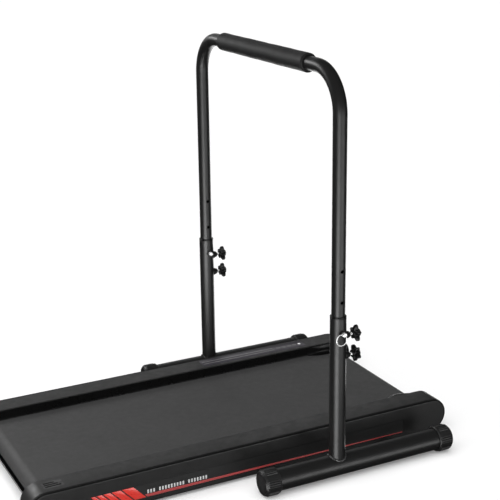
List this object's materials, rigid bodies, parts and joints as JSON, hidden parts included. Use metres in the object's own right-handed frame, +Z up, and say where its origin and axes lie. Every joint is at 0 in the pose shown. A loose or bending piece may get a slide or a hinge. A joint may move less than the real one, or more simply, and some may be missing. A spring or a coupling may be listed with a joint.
{
  "type": "walking pad with handrail",
  "caption": "Low motorised walking pad with a belt deck between plastic side rails, standing inside a U-shaped handrail whose height is set by spring pins and star knobs.",
  "frame": {"origin": "on the floor, at the centre of the object's footprint box", "axes": "+X along the deck towards its front (drum motor) end, +Y across the deck towards the rail with the touch panel, +Z up"},
  "size_m": [1.09, 0.7639, 0.977],
  "materials": {
    "belt": "matte woven-textured PVC",
    "board": "waxed fibreboard",
    "painted_steel": "satin black",
    "bright_steel": "bright plated",
    "roller_steel": "turned and zinc plated",
    "rubber": "moulded, matte",
    "rail_plastic": "satin, fine grain",
    "panel_plastic": "satin, fine grain",
    "guard_plastic": "semi-gloss black",
    "red_vinyl": "semi-gloss red",
    "screen": "smoked, gloss",
    "electrical_black": "moulded black",
    "switch_red": "gloss",
    "tube_paint": "satin black powder coat",
    "foam": "closed-cell foam, matte",
    "knob_plastic": "moulded, satin"
  },
  "bodies": {
    "base": {"walking_belt": "belt", "running_board": "board", "drum_motor_stator": "painted_steel", "side_beam_near": "painted_steel", "side_beam_far": "painted_steel", "cross_member_rear": "painted_steel", "cross_member_front": "painted_steel", "wheel_bracket_near": "painted_steel", "wheel_bracket_far": "painted_steel", "vibration_motor": "painted_steel", "cross_strap_rear": "painted_steel", "cross_strap_front": "painted_steel", "rear_axle": "bright_steel", "rear_bearing_near": "bright_steel", "rear_bearing_far": "bright_steel", "board_cushion_rear": "rubber", "board_cushion_front": "rubber", "deck_foot_rear_near": "rubber", "deck_foot_front_near": "rubber", "deck_foot_rear_far": "rubber", "deck_foot_front_far": "rubber", "foot_cap_rear_near": "rubber", "foot_cap_front_near": "rubber", "foot_cap_rear_far": "rubber", "foot_cap_front_far": "rubber", "rail_cover_near": "rail_plastic", "rail_cover_far": "rail_plastic", "side_panel_near": "panel_plastic", "side_panel_far": "panel_plastic", "bottom_pan": "panel_plastic", "belt_guard_near": "guard_plastic", "belt_guard_far": "guard_plastic", "accent_stripe_near": "red_vinyl", "accent_stripe_far": "red_vinyl", "touch_panel": "screen", "power_inlet": "electrical_black", "control_box": "electrical_black", "foot_tube_near": "tube_paint", "foot_tube_far": "tube_paint", "sleeve_near": "tube_paint", "sleeve_far": "tube_paint", "sleeve_bushing_near": "knob_plastic", "sleeve_bushing_far": "knob_plastic"},
    "front_roller": {"front_roller": "roller_steel"},
    "rear_roller": {"rear_roller": "roller_steel"},
    "eccentric_weight": {"eccentric_weight": "bright_steel"},
    "power_switch": {"power_switch": "switch_red"},
    "transport_wheel_near": {"transport_wheel_near": "rubber"},
    "transport_wheel_far": {"transport_wheel_far": "rubber"},
    "handle": {"handle_frame": "tube_paint", "handle_grip": "foam"},
    "star_knob_upper_near": {"star_knob_upper_near": "knob_plastic"},
    "star_knob_lower_near": {"star_knob_lower_near": "knob_plastic"},
    "lock_pin_near": {"lock_pin_near": "bright_steel"},
    "star_knob_upper_far": {"star_knob_upper_far": "knob_plastic"},
    "star_knob_lower_far": {"star_knob_lower_far": "knob_plastic"},
    "lock_pin_far": {"lock_pin_far": "bright_steel"},
    "pull_ring_near": {"pull_ring_near": "bright_steel"}
  },
  "joints": [
    {"name": "handle_height", "type": "slide", "parent": "base", "child": "handle", "axis": [0, 0, 1], "range_m": [-0.146, 0]},
    {"name": "star_knob_upper_near_turn", "type": "hinge", "parent": "base", "child": "star_knob_upper_near", "pos_m": [0.217, -0.35, 0.353], "axis": [1, 0, 0], "continuous": true},
    {"name": "star_knob_lower_near_turn", "type": "hinge", "parent": "base", "child": "star_knob_lower_near", "pos_m": [0.217, -0.35, 0.304], "axis": [1, 0, 0], "continuous": true},
    {"name": "lock_pin_near_pull", "type": "slide", "parent": "base", "child": "lock_pin_near", "axis": [0, -1, 0], "range_m": [0, 0.01], "stiffness_N_per_m": 300, "springref_m": -0.003},
    {"name": "pull_ring_near_swing", "type": "hinge", "parent": "lock_pin_near", "child": "pull_ring_near", "pos_m": [0.172, -0.3785, 0.365], "axis": [0.8192, 0, -0.5736], "range_deg": [-110, 20]},
    {"name": "star_knob_upper_far_turn", "type": "hinge", "parent": "base", "child": "star_knob_upper_far", "pos_m": [0.217, 0.35, 0.353], "axis": [1, 0, 0], "continuous": true},
    {"name": "star_knob_lower_far_turn", "type": "hinge", "parent": "base", "child": "star_knob_lower_far", "pos_m": [0.217, 0.35, 0.304], "axis": [1, 0, 0], "continuous": true},
    {"name": "lock_pin_far_pull", "type": "slide", "parent": "base", "child": "lock_pin_far", "axis": [0, -1, 0], "range_m": [0, 0.01], "stiffness_N_per_m": 300, "springref_m": -0.003},
    {"name": "front_roller_spin", "type": "hinge", "parent": "base", "child": "front_roller", "pos_m": [0.486, 0, 0.041], "axis": [0, 1, 0], "continuous": true},
    {"name": "rear_roller_spin", "type": "hinge", "parent": "base", "child": "rear_roller", "pos_m": [-0.486, 0, 0.041], "axis": [0, 1, 0], "continuous": true},
    {"name": "eccentric_spin", "type": "hinge", "parent": "base", "child": "eccentric_weight", "pos_m": [-0.165, 0, 0.037], "axis": [0, 1, 0], "continuous": true},
    {"name": "transport_wheel_near_spin", "type": "hinge", "parent": "base", "child": "transport_wheel_near", "pos_m": [0.48, -0.244, 0.017], "axis": [0, 1, 0], "continuous": true},
    {"name": "transport_wheel_far_spin", "type": "hinge", "parent": "base", "child": "transport_wheel_far", "pos_m": [0.48, 0.244, 0.017], "axis": [0, 1, 0], "continuous": true},
    {"name": "power_switch_rock", "type": "hinge", "parent": "base", "child": "power_switch", "pos_m": [0.35, 0.257, 0.047], "axis": [0, 0, 1], "range_deg": [0, 14]}
  ],
  "couplings": [
    {"joint": "rear_roller_spin", "follows": "front_roller_spin", "ratio": 1}
  ]
}
